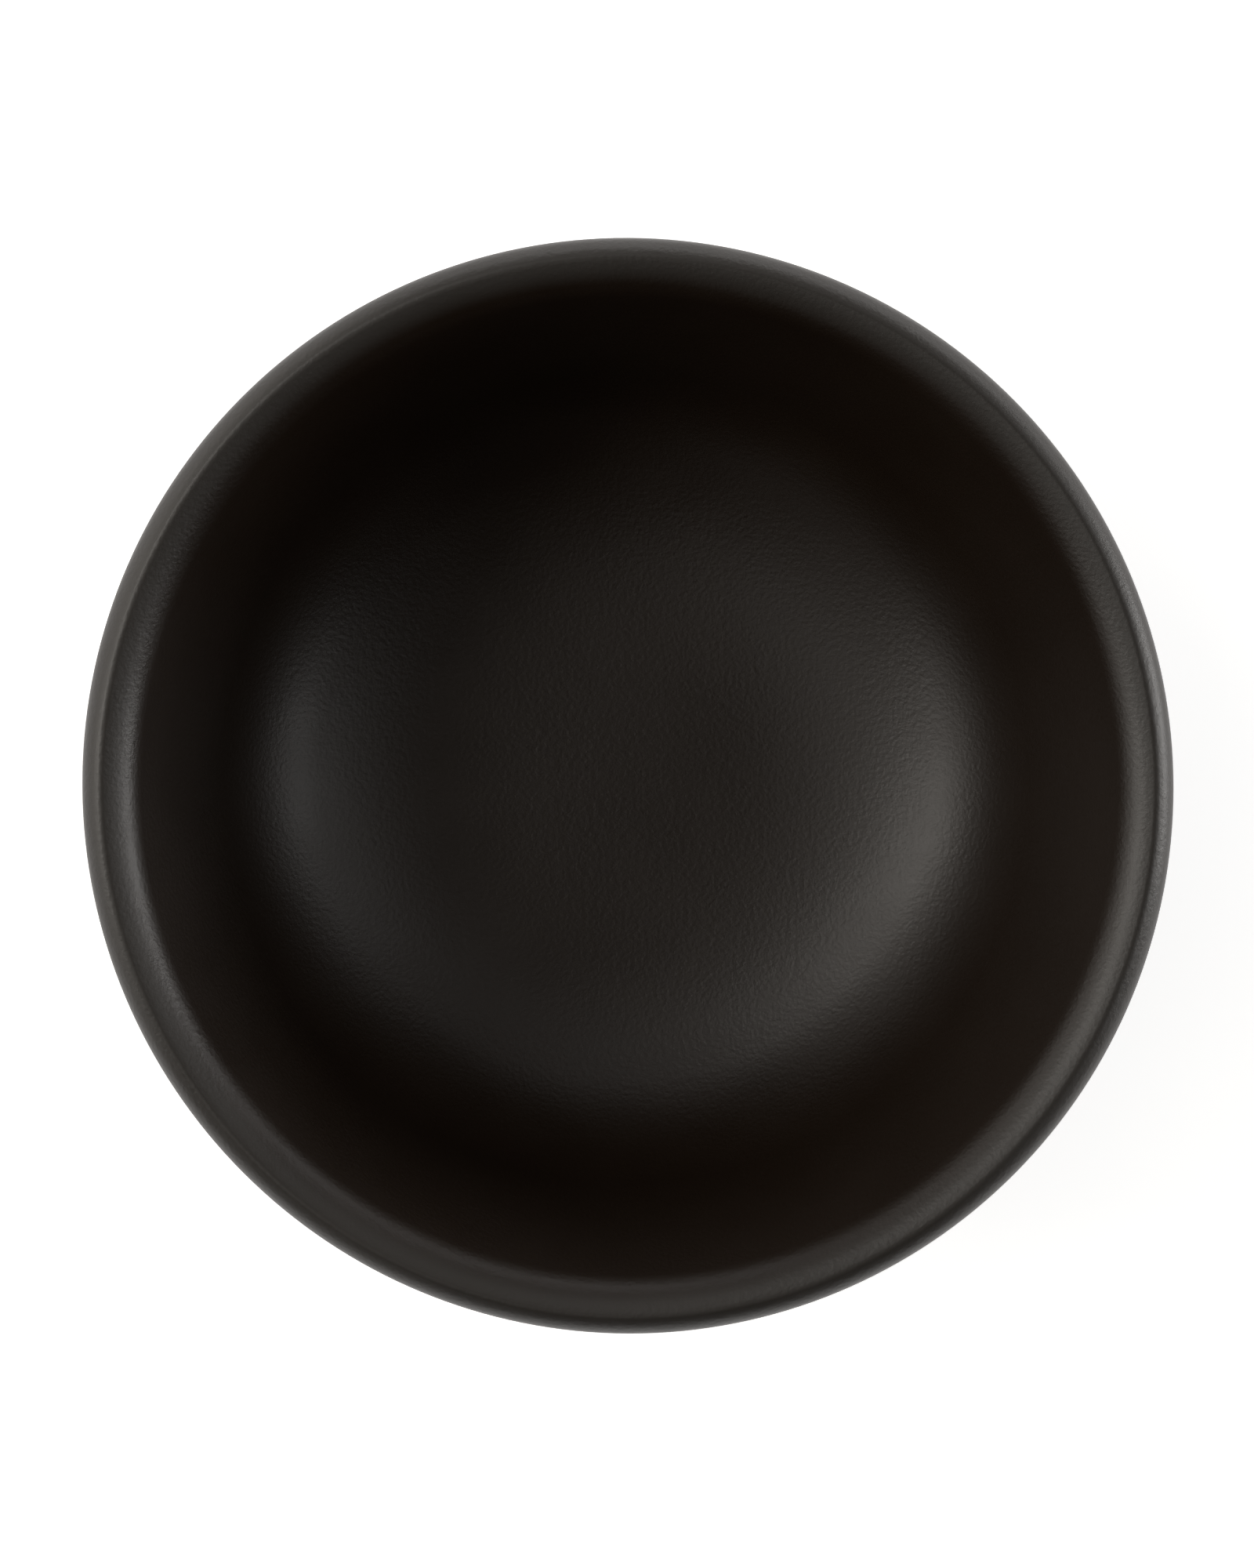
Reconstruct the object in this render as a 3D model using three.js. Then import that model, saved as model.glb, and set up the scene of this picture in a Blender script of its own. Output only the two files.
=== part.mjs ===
// A small porcelain bowl with a softly dished floor, a plain flared wall and a turned foot ring, under a
// satin-matt black glaze. Millimetres, +Z up, origin on the standing plane under the middle of the bowl.
import * as THREE from "three";

// Driving dimensions of the finished bowl, measured over the glaze
const RIM_DIAMETER = 90;
const HEIGHT = 35;
const WALL_ANGLE_DEG = 67; // slope of the inside wall above the horizontal
const WALL_THICKNESS = 4.2; // at the rounded corner between floor and wall
const FLOOR_THICKNESS = 3.8; // in the middle
const DISH_RADIUS = 40; // gentle rise of the floor around its flat middle
const DISH_ANGLE_DEG = 25.5; // slope at which the rise turns into the corner
const CORNER_RADIUS = 16.4; // inside corner between floor and wall
const LIP_CREST_RADIUS = 0.8; // tight rounding over the top of the lip
const LIP_OUTER_RADIUS = 2.5; // rounding from the crest to the outside
const LIP_OUTER_ANGLE_DEG = 28; // slope outwards at which the crest turns into it
const LIP_INNER_RADIUS = 4.5; // softer rounding from the crest to the inside
const LIP_INNER_ANGLE_DEG = 16; // slope inwards at which the crest turns into it
const FOOT_DIAMETER = 44;
const FOOT_WIDTH = 3.6;
const FOOT_FILLET = 1.5; // hollow where the wall meets the outside of the foot ring
const FOOT_EDGE_RADIUS = 0.5; // wiped edges of the bare standing ring
const WELL_DEPTH = 2.4; // from the standing plane up to the underside of the floor
const WELL_FILLET = 0.6;
const GLAZE_THICKNESS = 0.35;
const GLAZE_LINE_HEIGHT = 1; // bare band at the bottom of the foot ring

// Facets
const ROUND_SEGMENTS = 56;
const DISH_STEPS = 4;
const CORNER_STEPS = 6;
const OUTSIDE_STEPS = 7;
const LIP_INNER_STEPS = 4;
const LIP_CREST_STEPS = 2;
const LIP_OUTER_STEPS = 3;
const LIP_UNDER_STEPS = 1;
const FILLET_STEPS = 3;
const EDGE_STEPS = 2;

// Finishes
const glaze = new THREE.MeshStandardMaterial({ color: 0x1b1816, roughness: 0.44, metalness: 0 });
const barePorcelain = new THREE.MeshStandardMaterial({ color: 0xd9d2c4, roughness: 0.8, metalness: 0 });

// Section of the bowl: points are (radius from the axis, height)
const wallAngle = THREE.MathUtils.degToRad(WALL_ANGLE_DEG);
const dishAngle = THREE.MathUtils.degToRad(DISH_ANGLE_DEG);
const lipOuterAngle = THREE.MathUtils.degToRad(LIP_OUTER_ANGLE_DEG);
const lipInnerAngle = THREE.MathUtils.degToRad(LIP_INNER_ANGLE_DEG);
const floorHeight = WELL_DEPTH + FLOOR_THICKNESS;
const footRadius = FOOT_DIAMETER / 2;
const footInnerRadius = footRadius - FOOT_WIDTH;
const lipCrestCentre = crestArcCentre();
const lipOuterCentre = besideCrest(LIP_OUTER_RADIUS, lipOuterAngle);
const lipInnerCentre = besideCrest(LIP_INNER_RADIUS, -lipInnerAngle);
const cornerCentre = insideCornerCentre();
const dishCentre = insideDishCentre();
const outsideRadius = CORNER_RADIUS + WALL_THICKNESS;
const outsideAngle = outsideWallAngle();
const footFilletCentre = outsideFilletCentre();
const footFilletAngle = slopeTowards(footFilletCentre);
const wellFillet = Math.min(WELL_FILLET, (WELL_DEPTH - GLAZE_LINE_HEIGHT) / 2);
const wellFilletCentre = new THREE.Vector2(footInnerRadius - wellFillet, WELL_DEPTH - wellFillet);

// Centre of the crest arc, far enough in for the outside of the lip to reach the rim diameter.
function crestArcCentre() {
  const outsideReach = LIP_OUTER_RADIUS - (LIP_OUTER_RADIUS - LIP_CREST_RADIUS) * Math.sin(lipOuterAngle);
  return new THREE.Vector2(RIM_DIAMETER / 2 - outsideReach, HEIGHT - LIP_CREST_RADIUS);
}

// Centre of an arc that carries on from the crest arc where that leans outwards by the given angle.
function besideCrest(radius, angle) {
  const leaning = new THREE.Vector2(Math.sin(angle), Math.cos(angle));
  return leaning.multiplyScalar(LIP_CREST_RADIUS - radius).add(lipCrestCentre);
}

// Centre of the corner arc, which touches the dished floor and the straight wall below the lip.
function insideCornerCentre() {
  const height = floorHeight + DISH_RADIUS - (DISH_RADIUS - CORNER_RADIUS) * Math.cos(dishAngle);
  const wallOffset = LIP_INNER_RADIUS + CORNER_RADIUS;
  const wallLean = (lipInnerCentre.y - height) * Math.cos(wallAngle);
  return new THREE.Vector2(lipInnerCentre.x - (wallOffset + wallLean) / Math.sin(wallAngle), height);
}

// Centre of the arc that lifts the floor, over the edge of its flat middle.
function insideDishCentre() {
  const flatRadius = cornerCentre.x - (DISH_RADIUS - CORNER_RADIUS) * Math.sin(dishAngle);
  return new THREE.Vector2(flatRadius, floorHeight + DISH_RADIUS);
}

// Slope of the straight line that touches the outside of the lip and the outside of the corner.
function outsideWallAngle() {
  const span = lipOuterCentre.clone().sub(cornerCentre);
  const towardsLip = Math.atan2(span.y, span.x);
  return towardsLip + Math.asin((outsideRadius - LIP_OUTER_RADIUS) / span.length());
}

// Centre of the hollow fillet that touches the outside corner arc and the side of the foot ring.
function outsideFilletCentre() {
  const radius = footRadius + FOOT_FILLET;
  const reach = outsideRadius + FOOT_FILLET;
  const drop = Math.sqrt(reach ** 2 - (radius - cornerCentre.x) ** 2);
  return new THREE.Vector2(radius, cornerCentre.y - drop);
}

// Slope of the corner arc at the point that faces the given centre.
function slopeTowards(centre) {
  return Math.atan2(centre.x - cornerCentre.x, cornerCentre.y - centre.y);
}

// Points of an arc. Angles turn anticlockwise from straight out (+radius).
function arc(centre, radius, startAngle, endAngle, steps) {
  const points = [];
  for (let step = 0; step <= steps; step += 1) {
    const angle = THREE.MathUtils.lerp(startAngle, endAngle, step / steps);
    const offset = new THREE.Vector2(Math.cos(angle), Math.sin(angle));
    points.push(offset.multiplyScalar(radius).add(centre));
  }
  return points;
}

// The glazed skin from the middle of the floor, up the inside, over the lip and down the outside to the
// glaze line, at a depth below the finished surface.
function bowlSkin(depth) {
  const right = Math.PI / 2;
  const underLip = outsideAngle - right;
  const aboveFoot = footFilletAngle - right;
  const crestStart = right + lipInnerAngle;
  const crestEnd = right - lipOuterAngle;
  const innerLipRadius = LIP_INNER_RADIUS - depth;
  const crestRadius = LIP_CREST_RADIUS - depth;
  const outerLipRadius = LIP_OUTER_RADIUS - depth;
  const lineHeight = GLAZE_LINE_HEIGHT + GLAZE_THICKNESS - depth;
  const dishEdge = dishAngle - right;
  const dish = arc(dishCentre, DISH_RADIUS + depth, -right, dishEdge, DISH_STEPS);
  const corner = arc(cornerCentre, CORNER_RADIUS + depth, dishEdge, wallAngle - right, CORNER_STEPS);
  const lipInside = arc(lipInnerCentre, innerLipRadius, wallAngle + right, crestStart, LIP_INNER_STEPS);
  const crestRise = arc(lipCrestCentre, crestRadius, crestStart, right, LIP_CREST_STEPS);
  const crestFall = arc(lipCrestCentre, crestRadius, right, crestEnd, LIP_CREST_STEPS);
  const lipOutside = arc(lipOuterCentre, outerLipRadius, crestEnd, 0, LIP_OUTER_STEPS);
  const lipUnder = arc(lipOuterCentre, outerLipRadius, 0, underLip, LIP_UNDER_STEPS);
  const outside = arc(cornerCentre, outsideRadius - depth, underLip, aboveFoot, OUTSIDE_STEPS);
  const fillet = arc(footFilletCentre, FOOT_FILLET + depth, footFilletAngle + right, Math.PI, FILLET_STEPS);
  return [
    new THREE.Vector2(0, floorHeight - depth),
    ...dish,
    ...corner.slice(1),
    ...lipInside,
    ...crestRise.slice(1),
    ...crestFall.slice(1),
    ...lipOutside.slice(1),
    ...lipUnder.slice(1),
    ...outside,
    ...fillet.slice(1),
    new THREE.Vector2(footRadius - depth, lineHeight),
  ];
}

// The skin of the well under the floor, from its middle to the glaze line inside the foot ring.
function wellSkin(depth) {
  const lineHeight = GLAZE_LINE_HEIGHT + GLAZE_THICKNESS - depth;
  return [
    new THREE.Vector2(0, WELL_DEPTH + depth),
    ...arc(wellFilletCentre, wellFillet + depth, Math.PI / 2, 0, FILLET_STEPS),
    new THREE.Vector2(footInnerRadius + depth, lineHeight),
  ];
}

// The bare standing ring between the two glaze lines.
function standingRing() {
  const inset = GLAZE_THICKNESS + FOOT_EDGE_RADIUS;
  const inner = new THREE.Vector2(footInnerRadius + inset, FOOT_EDGE_RADIUS);
  const outer = new THREE.Vector2(footRadius - inset, FOOT_EDGE_RADIUS);
  return [
    ...arc(inner, FOOT_EDGE_RADIUS, Math.PI, Math.PI * 1.5, EDGE_STEPS),
    ...arc(outer, FOOT_EDGE_RADIUS, Math.PI * 1.5, Math.PI * 2, EDGE_STEPS),
  ];
}

// Turns a closed section about the +Z axis into a named mesh.
function turned(name, section, material) {
  const geometry = new THREE.LatheGeometry(section, ROUND_SEGMENTS);
  geometry.rotateX(Math.PI / 2);
  const mesh = new THREE.Mesh(geometry, material);
  mesh.name = name;
  return mesh;
}

// The fired porcelain, with its foot ring turned on the same piece.
function porcelainBody() {
  const section = [
    ...wellSkin(GLAZE_THICKNESS),
    ...standingRing(),
    ...bowlSkin(GLAZE_THICKNESS).reverse(),
  ];
  return turned("porcelain_body", section, barePorcelain);
}

// The glaze over the inside, the lip and the outside.
function glazeCoat() {
  const section = [...bowlSkin(GLAZE_THICKNESS), ...bowlSkin(0).reverse()];
  return turned("glaze_coat", section, glaze);
}

// The patch of glaze in the well, inside the foot ring.
function footWellGlaze() {
  const section = [...wellSkin(0), ...wellSkin(GLAZE_THICKNESS).reverse()];
  return turned("foot_well_glaze", section, glaze);
}

const bowl = new THREE.Group();
bowl.name = "porcelain_bowl";
bowl.add(porcelainBody(), glazeCoat(), footWellGlaze());

export default bowl;
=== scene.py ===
"""A shallow porcelain bowl under a satin-matt black glaze, seen from above on a white table.

The bowl stands in the frame of its solid model: metres, +Z up, the middle of the foot ring at the origin.
Its three layers are turned again here as fine, smooth meshes from the same section as the solids.
"""

import math

import bmesh
import bpy
from mathutils import Matrix, Vector


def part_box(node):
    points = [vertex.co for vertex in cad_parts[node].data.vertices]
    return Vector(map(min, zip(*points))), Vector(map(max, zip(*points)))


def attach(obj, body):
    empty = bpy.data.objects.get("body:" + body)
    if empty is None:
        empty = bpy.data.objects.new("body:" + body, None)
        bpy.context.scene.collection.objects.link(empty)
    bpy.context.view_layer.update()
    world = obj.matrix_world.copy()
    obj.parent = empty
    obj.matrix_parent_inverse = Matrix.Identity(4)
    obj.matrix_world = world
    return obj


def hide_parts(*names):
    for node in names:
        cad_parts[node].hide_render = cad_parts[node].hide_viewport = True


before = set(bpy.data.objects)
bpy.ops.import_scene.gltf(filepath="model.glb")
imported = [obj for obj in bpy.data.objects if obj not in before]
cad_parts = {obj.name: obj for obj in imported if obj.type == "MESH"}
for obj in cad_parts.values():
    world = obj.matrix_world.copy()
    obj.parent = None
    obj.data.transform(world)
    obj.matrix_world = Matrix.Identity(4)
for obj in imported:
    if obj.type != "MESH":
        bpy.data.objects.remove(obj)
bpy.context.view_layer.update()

MM = 0.001
AXIS_GAP = 1e-7  # points closer than this to the axis, or to each other, count as one
STRAIGHT_GAP = 1 * MM  # stretches of the section further apart than this get a straight run between them

# Sizes of the finished bowl over its glaze. The rim and the height come from the solid model.
GLAZE_LOW, GLAZE_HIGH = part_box("glaze_coat")
RIM_RADIUS = (GLAZE_HIGH.x - GLAZE_LOW.x) / 2
HEIGHT = GLAZE_HIGH.z
WALL_ANGLE = math.radians(67)
WALL_THICKNESS = 4.2 * MM
FLOOR_THICKNESS = 3.8 * MM
DISH_RADIUS = 40 * MM
DISH_ANGLE = math.radians(25.5)
CORNER_RADIUS = 16.4 * MM
LIP_CREST_RADIUS = 0.8 * MM
LIP_OUTER_RADIUS = 2.5 * MM
LIP_OUTER_ANGLE = math.radians(28)
LIP_INNER_RADIUS = 4.5 * MM
LIP_INNER_ANGLE = math.radians(16)
FOOT_RADIUS = 22 * MM
FOOT_WIDTH = 3.6 * MM
FOOT_FILLET = 1.5 * MM
FOOT_EDGE_RADIUS = 0.5 * MM
WELL_DEPTH = 2.4 * MM
WELL_FILLET = 0.6 * MM
GLAZE_THICKNESS = 0.35 * MM
GLAZE_LINE_HEIGHT = 1 * MM
# Painted sheen: the height below the lip's crest over which its colour is lightened for the light the crest
# catches.
LIP_PAINTED_SHEEN_HEIGHT = 1.2 * MM  # below the crest of the lip
POOL_RADIUS = 5 * MM  # level middle of the glaze on the floor
POOL_POWER = 3  # how softly the glazed floor starts to rise
FIRED_OVAL = 0.0036  # share by which the firing stretches the rim one way and narrows it the other
FIRED_OVAL_TOWARDS = math.radians(112)

# Fineness of the turned meshes
ROUND_SEGMENTS = 256
FLAT_STEPS = 6
DISH_STEPS = 20
CORNER_STEPS = 40
WALL_STEPS = 10
LIP_STEPS = 16
CREST_STEPS = 10
FILLET_STEPS = 8
EDGE_STEPS = 6

# Finishes: colours, patches and grains per metre, depths of the relief and roughness from lowest to highest
GLAZE_DARK = (0.0080, 0.0038, 0.0013, 1)
GLAZE_LIGHT = (0.0100, 0.0048, 0.0017, 1)
# Painted sheen: a lighter colour painted on the crest of the lip, standing in for the light the crest
# catches.
LIP_PAINTED_SHEEN = (0.027, 0.0238, 0.021, 1)
GLAZE_ROUGHNESS = (0.40, 0.44)
GLAZE_PATCHES = 120
GLAZE_PATCH_DEPTH = 0.01 * MM
GLAZE_GRAINS = 2600
GLAZE_GRAIN_DEPTH = 0.035 * MM
PORCELAIN_DARK = (0.58, 0.53, 0.45, 1)
PORCELAIN_LIGHT = (0.70, 0.65, 0.57, 1)
PORCELAIN_ROUGHNESS = (0.7, 0.9)
PORCELAIN_PATCHES = 300
PORCELAIN_GRAINS = 3500
PORCELAIN_GRAIN_DEPTH = 0.02 * MM
NOISE_LOW = 0.3
NOISE_HIGH = 0.7

# The room
TABLE_HALF_SIDE = 4
TABLE_GAP = 0.02 * MM
TABLE_LIFT = 0.7
LIGHT_DISTANCE = 0.8

# The picture: the rim's radius in a frame of 1600 by 2000 pixels, and the camera nearly overhead
FRAME_WIDTH_PX = 1600
FRAME_HEIGHT_PX = 2000
RIM_RADIUS_PX = 697.9
RIM_CENTRE_PX = (801.1, 1002)
CAMERA_DISTANCE = 0.5
CAMERA_TILT = math.radians(3)
CAMERA_TILT_TOWARDS = math.radians(110)

# Section of the bowl: points are (radius from the axis, height)
RIGHT_ANGLE = math.pi / 2
FLOOR_HEIGHT = WELL_DEPTH + FLOOR_THICKNESS
FOOT_INNER_RADIUS = FOOT_RADIUS - FOOT_WIDTH


def leaning(angle):
    """Direction that leans outwards from straight up."""
    return Vector((math.sin(angle), math.cos(angle)))


def lip_crest_centre():
    """Centre of the arc over the crest, far enough in for the outside of the lip to reach the rim."""
    crest_reach = (LIP_CREST_RADIUS - LIP_OUTER_RADIUS) * math.sin(LIP_OUTER_ANGLE)
    return Vector((RIM_RADIUS - LIP_OUTER_RADIUS - crest_reach, HEIGHT - LIP_CREST_RADIUS))


def inside_corner_centre():
    """Centre of the arc that touches the dished floor and the straight wall below the lip."""
    height = FLOOR_HEIGHT + DISH_RADIUS - (DISH_RADIUS - CORNER_RADIUS) * math.cos(DISH_ANGLE)
    lean = (LIP_INNER_CENTRE.y - height) * math.cos(WALL_ANGLE)
    reach = (LIP_INNER_RADIUS + CORNER_RADIUS + lean) / math.sin(WALL_ANGLE)
    return Vector((LIP_INNER_CENTRE.x - reach, height))


def inside_dish_centre():
    """Centre of the arc that lifts the floor, over the edge of its flat middle."""
    flat_radius = CORNER_CENTRE.x - (DISH_RADIUS - CORNER_RADIUS) * math.sin(DISH_ANGLE)
    return Vector((flat_radius, FLOOR_HEIGHT + DISH_RADIUS))


def outside_wall_angle():
    """Slope of the straight line that touches the outside of the lip and the outside of the corner."""
    span = LIP_OUTER_CENTRE - CORNER_CENTRE
    towards_lip = math.atan2(span.y, span.x)
    return towards_lip + math.asin((OUTSIDE_RADIUS - LIP_OUTER_RADIUS) / span.length)


def outside_fillet_centre():
    """Centre of the hollow that touches the outside corner and the side of the foot ring."""
    radius = FOOT_RADIUS + FOOT_FILLET
    reach = OUTSIDE_RADIUS + FOOT_FILLET
    drop = math.sqrt(reach**2 - (radius - CORNER_CENTRE.x) ** 2)
    return Vector((radius, CORNER_CENTRE.y - drop))


LIP_CREST_CENTRE = lip_crest_centre()
LIP_OUTER_CENTRE = LIP_CREST_CENTRE + (LIP_CREST_RADIUS - LIP_OUTER_RADIUS) * leaning(LIP_OUTER_ANGLE)
LIP_INNER_CENTRE = LIP_CREST_CENTRE + (LIP_CREST_RADIUS - LIP_INNER_RADIUS) * leaning(-LIP_INNER_ANGLE)
CORNER_CENTRE = inside_corner_centre()
DISH_CENTRE = inside_dish_centre()
OUTSIDE_RADIUS = CORNER_RADIUS + WALL_THICKNESS
OUTSIDE_ANGLE = outside_wall_angle()
FOOT_FILLET_CENTRE = outside_fillet_centre()
TOWARDS_FILLET = FOOT_FILLET_CENTRE - CORNER_CENTRE
FOOT_FILLET_ANGLE = math.atan2(TOWARDS_FILLET.x, -TOWARDS_FILLET.y)
WELL_FILLET_CENTRE = Vector((FOOT_INNER_RADIUS - WELL_FILLET, WELL_DEPTH - WELL_FILLET))


def arc(centre, radius, start, end, steps):
    """Points of an arc. Angles turn anticlockwise from straight out."""
    points = []
    for step in range(steps + 1):
        angle = start + (end - start) * step / steps
        points.append(centre + radius * Vector((math.cos(angle), math.sin(angle))))
    return points


def line(start, end, steps):
    """Points between two ends, without the ends themselves."""
    return [start.lerp(end, step / steps) for step in range(1, steps)]


def joined(*stretches):
    """One list of points from stretches, with straight runs between those that don't meet."""
    points = list(stretches[0])
    for stretch in stretches[1:]:
        gap = (stretch[0] - points[-1]).length
        if gap > STRAIGHT_GAP:
            points += line(points[-1], stretch[0], WALL_STEPS)
        first = 0 if gap > AXIS_GAP else 1
        points += stretch[first:]
    return points


def bare_floor(depth):
    """The porcelain floor below the glaze: flat in the middle, then lifted by a gentle arc."""
    middle = Vector((0, FLOOR_HEIGHT - depth))
    flat_edge = Vector((DISH_CENTRE.x, FLOOR_HEIGHT - depth))
    rise = arc(DISH_CENTRE, DISH_RADIUS + depth, -RIGHT_ANGLE, DISH_ANGLE - RIGHT_ANGLE, DISH_STEPS)
    return [middle] + line(middle, flat_edge, FLAT_STEPS) + rise


def pooled_floor():
    """The glazed floor: glaze pools in the middle, so the rise to the corner starts softly."""
    edge = DISH_CENTRE - DISH_RADIUS * leaning(-DISH_ANGLE)
    reach = edge.x - POOL_RADIUS
    rise = math.tan(DISH_ANGLE) * reach / POOL_POWER
    middle = Vector((0, edge.y - rise))
    points = [middle] + line(middle, Vector((POOL_RADIUS, middle.y)), FLAT_STEPS)
    for step in range(DISH_STEPS + 1):
        share = step / DISH_STEPS
        points.append(Vector((POOL_RADIUS + reach * share, middle.y + rise * share**POOL_POWER)))
    return points


def bowl_skin(depth):
    """The skin from the middle of the floor, up the inside, over the lip and down to the glaze line."""
    dish_edge = DISH_ANGLE - RIGHT_ANGLE
    crest_start = RIGHT_ANGLE + LIP_INNER_ANGLE
    crest_end = RIGHT_ANGLE - LIP_OUTER_ANGLE
    under_lip = OUTSIDE_ANGLE - RIGHT_ANGLE
    above_foot = FOOT_FILLET_ANGLE - RIGHT_ANGLE
    foot_hollow = FOOT_FILLET_ANGLE + RIGHT_ANGLE
    edge_centre = Vector((FOOT_RADIUS - GLAZE_THICKNESS, GLAZE_LINE_HEIGHT + GLAZE_THICKNESS))
    return joined(
        bare_floor(depth) if depth > 0 else pooled_floor(),
        arc(CORNER_CENTRE, CORNER_RADIUS + depth, dish_edge, WALL_ANGLE - RIGHT_ANGLE, CORNER_STEPS),
        arc(LIP_INNER_CENTRE, LIP_INNER_RADIUS - depth, WALL_ANGLE + RIGHT_ANGLE, crest_start, LIP_STEPS),
        arc(LIP_CREST_CENTRE, LIP_CREST_RADIUS - depth, crest_start, crest_end, CREST_STEPS),
        arc(LIP_OUTER_CENTRE, LIP_OUTER_RADIUS - depth, crest_end, under_lip, LIP_STEPS),
        arc(CORNER_CENTRE, OUTSIDE_RADIUS - depth, under_lip, above_foot, CORNER_STEPS),
        arc(FOOT_FILLET_CENTRE, FOOT_FILLET + depth, foot_hollow, math.pi, FILLET_STEPS),
        glaze_edge(edge_centre, depth, 0),
    )


def well_skin(depth):
    """The skin of the well under the floor, from its middle to the glaze line inside the foot ring."""
    middle = Vector((0, WELL_DEPTH + depth))
    flat_edge = Vector((WELL_FILLET_CENTRE.x, WELL_DEPTH + depth))
    edge_centre = Vector((FOOT_INNER_RADIUS + GLAZE_THICKNESS, GLAZE_LINE_HEIGHT + GLAZE_THICKNESS))
    return joined(
        [middle] + line(middle, flat_edge, FLAT_STEPS),
        arc(WELL_FILLET_CENTRE, WELL_FILLET + depth, RIGHT_ANGLE, 0, FILLET_STEPS),
        glaze_edge(edge_centre, depth, math.pi),
    )


def glaze_edge(centre, depth, side):
    """The rounded edge of the glaze on the finished side, and its last point on the porcelain side."""
    if depth > 0:
        return [Vector((centre.x, GLAZE_LINE_HEIGHT))]
    down = -RIGHT_ANGLE if side == 0 else 3 * RIGHT_ANGLE
    return arc(centre, GLAZE_THICKNESS, side, down, EDGE_STEPS)


def standing_ring():
    """The bare ring that the bowl stands on, between the two glaze lines."""
    inset = GLAZE_THICKNESS + FOOT_EDGE_RADIUS
    inner = Vector((FOOT_INNER_RADIUS + inset, FOOT_EDGE_RADIUS))
    outer = Vector((FOOT_RADIUS - inset, FOOT_EDGE_RADIUS))
    return joined(
        arc(inner, FOOT_EDGE_RADIUS, math.pi, 3 * RIGHT_ANGLE, EDGE_STEPS),
        arc(outer, FOOT_EDGE_RADIUS, 3 * RIGHT_ANGLE, 4 * RIGHT_ANGLE, EDGE_STEPS),
    )


def turned(name, section, material):
    """A section that starts and ends on the axis, turned about it as a smooth mesh."""
    mesh = bmesh.new()
    rings = [ring_of(mesh, point) for point in section]
    for below, above in zip(rings, rings[1:]):
        bridge(mesh, below, above)
    bmesh.ops.recalc_face_normals(mesh, faces=mesh.faces)
    data = bpy.data.meshes.new(name)
    mesh.to_mesh(data)
    mesh.free()
    data.shade_smooth()
    data.materials.append(material)
    piece = bpy.data.objects.new(name, data)
    bpy.context.scene.collection.objects.link(piece)
    return piece


def fired_oval(turn, height):
    """How far the firing has drawn a ring out of round: not at the foot, and most at the lip."""
    return 1 + FIRED_OVAL * height / HEIGHT * math.cos(2 * (turn - FIRED_OVAL_TOWARDS))


def ring_of(mesh, point):
    """One ring of vertices, or a single vertex on the axis."""
    if point.x < AXIS_GAP:
        return [mesh.verts.new((0, 0, point.y))]
    ring = []
    for segment in range(ROUND_SEGMENTS):
        turn = 2 * math.pi * segment / ROUND_SEGMENTS
        radius = point.x * fired_oval(turn, point.y)
        ring.append(mesh.verts.new((radius * math.cos(turn), radius * math.sin(turn), point.y)))
    return ring


def bridge(mesh, below, above):
    """Faces between two rings, as a fan where one of them is a point."""
    for segment in range(ROUND_SEGMENTS):
        following = (segment + 1) % ROUND_SEGMENTS
        if len(below) == 1:
            mesh.faces.new((below[0], above[following], above[segment]))
        elif len(above) == 1:
            mesh.faces.new((below[segment], below[following], above[0]))
        else:
            mesh.faces.new((below[segment], below[following], above[following], above[segment]))


def node(tree, kind, **values):
    """A new shader node with its settings."""
    made = tree.nodes.new(kind)
    for name, value in values.items():
        setattr(made, name, value)
    return made


def new_material(name):
    """A new material, its node tree and its surface shader."""
    material = bpy.data.materials.new(name)
    material.use_nodes = True
    return material, material.node_tree, material.node_tree.nodes["Principled BSDF"]


def noise(tree, coordinates, scale, detail=2.0):
    """A noise texture in the object's own metres."""
    made = node(tree, "ShaderNodeTexNoise")
    made.inputs["Scale"].default_value = scale
    made.inputs["Detail"].default_value = detail
    tree.links.new(coordinates.outputs["Object"], made.inputs["Vector"])
    return made


def ranged(tree, source, low, high):
    """A noise value spread over a range."""
    made = node(tree, "ShaderNodeMapRange")
    made.inputs["From Min"].default_value = NOISE_LOW
    made.inputs["From Max"].default_value = NOISE_HIGH
    made.inputs["To Min"].default_value = low
    made.inputs["To Max"].default_value = high
    tree.links.new(source, made.inputs["Value"])
    return made.outputs["Result"]


def bump(tree, height, distance, under=None):
    """A bump of real depth, over another one where there is one."""
    made = node(tree, "ShaderNodeBump")
    made.inputs["Distance"].default_value = distance
    tree.links.new(height, made.inputs["Height"])
    if under is not None:
        tree.links.new(under, made.inputs["Normal"])
    return made.outputs["Normal"]


def near_crest(tree, coordinates):
    """From 0 to 1 over the last stretch below the crest of the lip, where a painted sheen lightens its
    colour.
    """
    parts = node(tree, "ShaderNodeSeparateXYZ")
    tree.links.new(coordinates.outputs["Object"], parts.inputs["Vector"])
    made = node(tree, "ShaderNodeMapRange", interpolation_type="SMOOTHSTEP")
    made.inputs["From Min"].default_value = HEIGHT - LIP_PAINTED_SHEEN_HEIGHT
    made.inputs["From Max"].default_value = HEIGHT
    tree.links.new(parts.outputs["Z"], made.inputs["Value"])
    return made.outputs["Result"]


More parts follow.
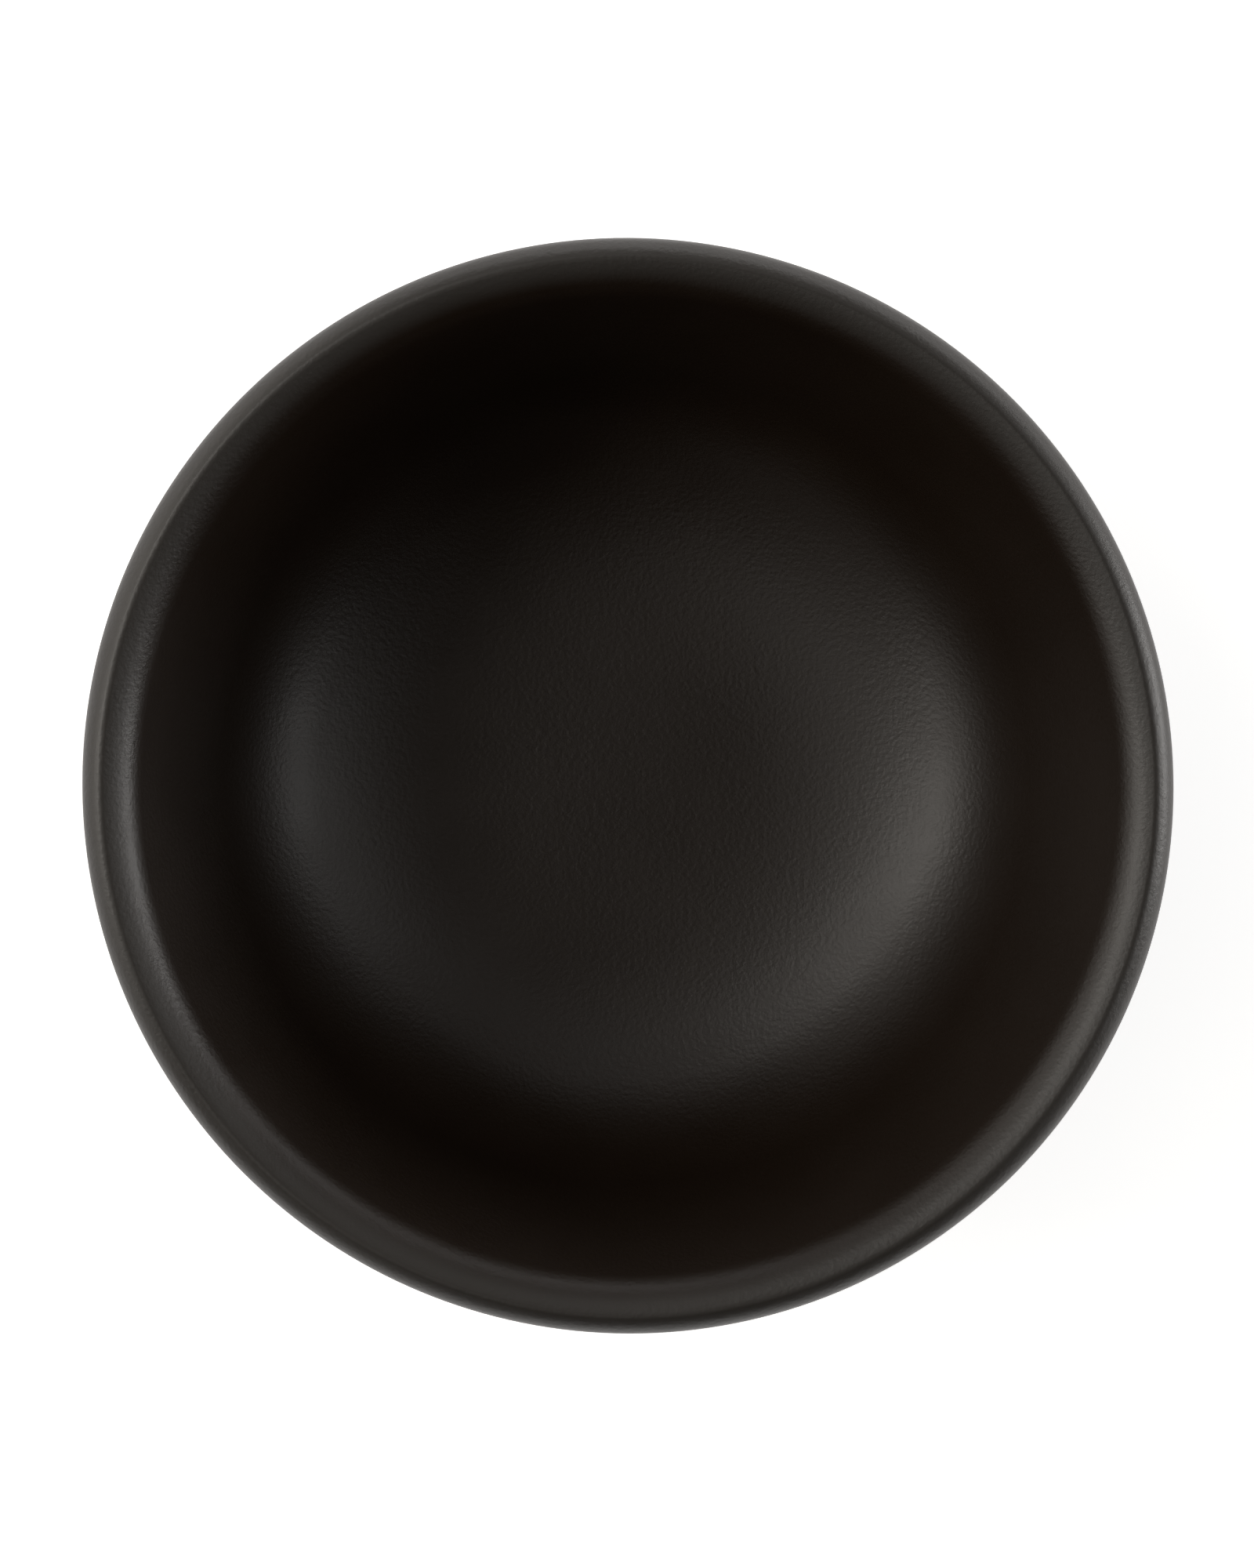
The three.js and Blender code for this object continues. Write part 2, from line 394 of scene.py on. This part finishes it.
def black_glaze():
    """Satin-matt black glaze: warm and very dark, with a fine dry grain, a slow unevenness and a painted
    sheen on the crest of the lip.
    """
    material, tree, shader = new_material("satin_black_glaze")
    coordinates = node(tree, "ShaderNodeTexCoord")
    grain = noise(tree, coordinates, GLAZE_GRAINS, 3.0)
    clouds = noise(tree, coordinates, GLAZE_PATCHES)
    tint = node(tree, "ShaderNodeMix", data_type="RGBA")
    tint.inputs["A"].default_value = GLAZE_DARK
    tint.inputs["B"].default_value = GLAZE_LIGHT
    tree.links.new(clouds.outputs["Fac"], tint.inputs["Factor"])
    # Painted sheen: towards the crest of the lip the colour is lightened, standing in for the light the
    # crest catches.
    lip_painted_sheen = node(tree, "ShaderNodeMix", data_type="RGBA")
    lip_painted_sheen.inputs["B"].default_value = LIP_PAINTED_SHEEN
    tree.links.new(near_crest(tree, coordinates), lip_painted_sheen.inputs["Factor"])
    tree.links.new(tint.outputs["Result"], lip_painted_sheen.inputs["A"])
    tree.links.new(lip_painted_sheen.outputs["Result"], shader.inputs["Base Color"])
    tree.links.new(ranged(tree, clouds.outputs["Fac"], *GLAZE_ROUGHNESS), shader.inputs["Roughness"])
    slow = bump(tree, clouds.outputs["Fac"], GLAZE_PATCH_DEPTH)
    tree.links.new(bump(tree, grain.outputs["Fac"], GLAZE_GRAIN_DEPTH, slow), shader.inputs["Normal"])
    shader.inputs["IOR"].default_value = 1.5
    return material


def bare_porcelain():
    """Unglazed porcelain: off-white, dry and finely gritty."""
    material, tree, shader = new_material("bare_porcelain")
    coordinates = node(tree, "ShaderNodeTexCoord")
    grit = noise(tree, coordinates, PORCELAIN_GRAINS, 4.0)
    clouds = noise(tree, coordinates, PORCELAIN_PATCHES)
    tint = node(tree, "ShaderNodeMix", data_type="RGBA")
    tint.inputs["A"].default_value = PORCELAIN_DARK
    tint.inputs["B"].default_value = PORCELAIN_LIGHT
    tree.links.new(clouds.outputs["Fac"], tint.inputs["Factor"])
    tree.links.new(tint.outputs["Result"], shader.inputs["Base Color"])
    tree.links.new(ranged(tree, grit.outputs["Fac"], *PORCELAIN_ROUGHNESS), shader.inputs["Roughness"])
    tree.links.new(bump(tree, grit.outputs["Fac"], PORCELAIN_GRAIN_DEPTH), shader.inputs["Normal"])
    return material


def table_top():
    """A plain white table, a little lifted where it is seen, which keeps the bowl's shadow."""
    material, tree, shader = new_material("white_table")
    shader.inputs["Base Color"].default_value = (0.9, 0.9, 0.9, 1)
    shader.inputs["Roughness"].default_value = 0.9
    shader.inputs["Specular IOR Level"].default_value = 0
    path = node(tree, "ShaderNodeLightPath")
    camera_or_glossy = node(tree, "ShaderNodeMath", operation="MAXIMUM")
    tree.links.new(path.outputs["Is Camera Ray"], camera_or_glossy.inputs[0])
    tree.links.new(path.outputs["Is Glossy Ray"], camera_or_glossy.inputs[1])
    seen = node(tree, "ShaderNodeMath", operation="MAXIMUM")
    tree.links.new(camera_or_glossy.outputs["Value"], seen.inputs[0])
    tree.links.new(path.outputs["Is Transmission Ray"], seen.inputs[1])
    lift = node(tree, "ShaderNodeMath", operation="MULTIPLY")
    lift.inputs[1].default_value = TABLE_LIFT
    tree.links.new(seen.outputs["Value"], lift.inputs[0])
    shader.inputs["Emission Color"].default_value = (1, 1, 1, 1)
    tree.links.new(lift.outputs["Value"], shader.inputs["Emission Strength"])
    return material


def make_floor():
    """The table that the bowl stands on."""
    mesh = bmesh.new()
    corners = []
    for x, y in ((-1, -1), (1, -1), (1, 1), (-1, 1)):
        corners.append(mesh.verts.new((x * TABLE_HALF_SIDE, y * TABLE_HALF_SIDE, -TABLE_GAP)))
    mesh.faces.new(corners)
    data = bpy.data.meshes.new("table")
    mesh.to_mesh(data)
    mesh.free()
    data.materials.append(table_top())
    table = bpy.data.objects.new("table", data)
    bpy.context.scene.collection.objects.link(table)


def make_camera():
    """The camera, nearly overhead, framed so that the rim has its size in the picture."""
    data = bpy.data.cameras.new("camera")
    data.lens = data.sensor_width * CAMERA_DISTANCE * RIM_RADIUS_PX / (RIM_RADIUS * FRAME_HEIGHT_PX)
    camera = bpy.data.objects.new("camera", data)
    bpy.context.scene.collection.objects.link(camera)
    across = math.sin(CAMERA_TILT)
    back = Vector((
        across * math.cos(CAMERA_TILT_TOWARDS),
        across * math.sin(CAMERA_TILT_TOWARDS),
        math.cos(CAMERA_TILT),
    ))
    right = Vector((0, 1, 0)).cross(back).normalized()
    up = back.cross(right)
    turn = Matrix((right, up, back)).transposed()
    # The near side of the rim looks larger, which moves the middle of the outline towards it.
    outline_shift = RIM_RADIUS**2 * across / (CAMERA_DISTANCE - RIM_RADIUS * across)
    to_rim_centre = Vector((RIM_CENTRE_PX[0] - FRAME_WIDTH_PX / 2, FRAME_HEIGHT_PX / 2 - RIM_CENTRE_PX[1]))
    aside = to_rim_centre * RIM_RADIUS / RIM_RADIUS_PX
    aside -= outline_shift * Vector((math.cos(CAMERA_TILT_TOWARDS), math.sin(CAMERA_TILT_TOWARDS)))
    target = Vector((0, 0, LIP_OUTER_CENTRE.y)) - right * aside.x - up * aside.y
    camera.matrix_world = Matrix.Translation(target + back * CAMERA_DISTANCE) @ turn.to_4x4()
    bpy.context.scene.camera = camera


def softbox(name, azimuth, elevation, width, height, watts, colour):
    """A soft light that faces the bowl. Azimuth turns anticlockwise from +X, in degrees."""
    data = bpy.data.lights.new(name, "AREA")
    data.shape = "RECTANGLE"
    data.size = width
    data.size_y = height
    data.energy = watts
    data.color = colour
    light = bpy.data.objects.new(name, data)
    bpy.context.scene.collection.objects.link(light)
    turn = math.radians(azimuth)
    rise = math.radians(elevation)
    towards = Vector((math.cos(rise) * math.cos(turn), math.cos(rise) * math.sin(turn), math.sin(rise)))
    light.location = towards * LIGHT_DISTANCE
    light.rotation_mode = "QUATERNION"
    light.rotation_quaternion = (-towards).to_track_quat("-Z", "Y")


def make_lights():
    """Soft lights on the left and right, low ones behind, weak ones above, and no other light."""
    warm = (1, 0.96, 0.9)
    neutral = (1, 0.985, 0.965)
    softbox("left_key", 180, 38, 0.3, 0.2, 1.1, warm)
    softbox("left_key_middle", 163, 46, 0.3, 0.2, 0.74, warm)
    softbox("left_key_back", 143, 53, 0.3, 0.2, 0.62, warm)
    softbox("front_left_middle", 240, 24, 0.5, 0.3, 0.14, warm)
    softbox("left_low", 190, 20, 0.5, 0.4, 0.92, warm)
    softbox("left_back_low", 146, 10, 0.7, 0.4, 1.48, warm)
    softbox("back_low", 90, 5, 0.7, 0.25, 1.32, neutral)
    softbox("right_back_low", 45, 5, 0.6, 0.25, 1.23, neutral)
    softbox("right_low", 5, 6, 0.4, 0.25, 3.14, neutral)
    softbox("right_middle", 355, 25, 0.4, 0.2, 0.65, neutral)
    softbox("right_high", 10, 44, 0.6, 0.5, 0.72, neutral)
    softbox("back_high", 100, 52, 0.7, 0.4, 0.48, neutral)
    softbox("front_high", 210, 68, 0.5, 0.4, 0.53, warm)
    world = bpy.data.worlds.new("studio")
    world.use_nodes = True
    background = world.node_tree.nodes["Background"]
    background.inputs["Color"].default_value = (1, 1, 1, 1)
    background.inputs["Strength"].default_value = 0
    bpy.context.scene.world = world


def make_bowl():
    """The three layers of the bowl, each in the place of its solid."""
    glaze = black_glaze()
    coat = turned("bowl_glaze", bowl_skin(GLAZE_THICKNESS) + bowl_skin(0)[::-1], glaze)
    patch = turned("well_glaze", well_skin(0) + well_skin(GLAZE_THICKNESS)[::-1], glaze)
    body_section = well_skin(GLAZE_THICKNESS) + standing_ring() + bowl_skin(GLAZE_THICKNESS)[::-1]
    body = turned("bowl_porcelain", body_section, bare_porcelain())
    for piece, solid, slot in (
        (coat, "glaze_coat", "black_glaze"),
        (patch, "foot_well_glaze", "black_glaze"),
        (body, "porcelain_body", "bare_porcelain"),
    ):
        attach(piece, "root")
        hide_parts(solid)


bpy.context.scene.view_settings.view_transform = "Standard"
make_camera()
make_bowl()
make_floor()
make_lights()
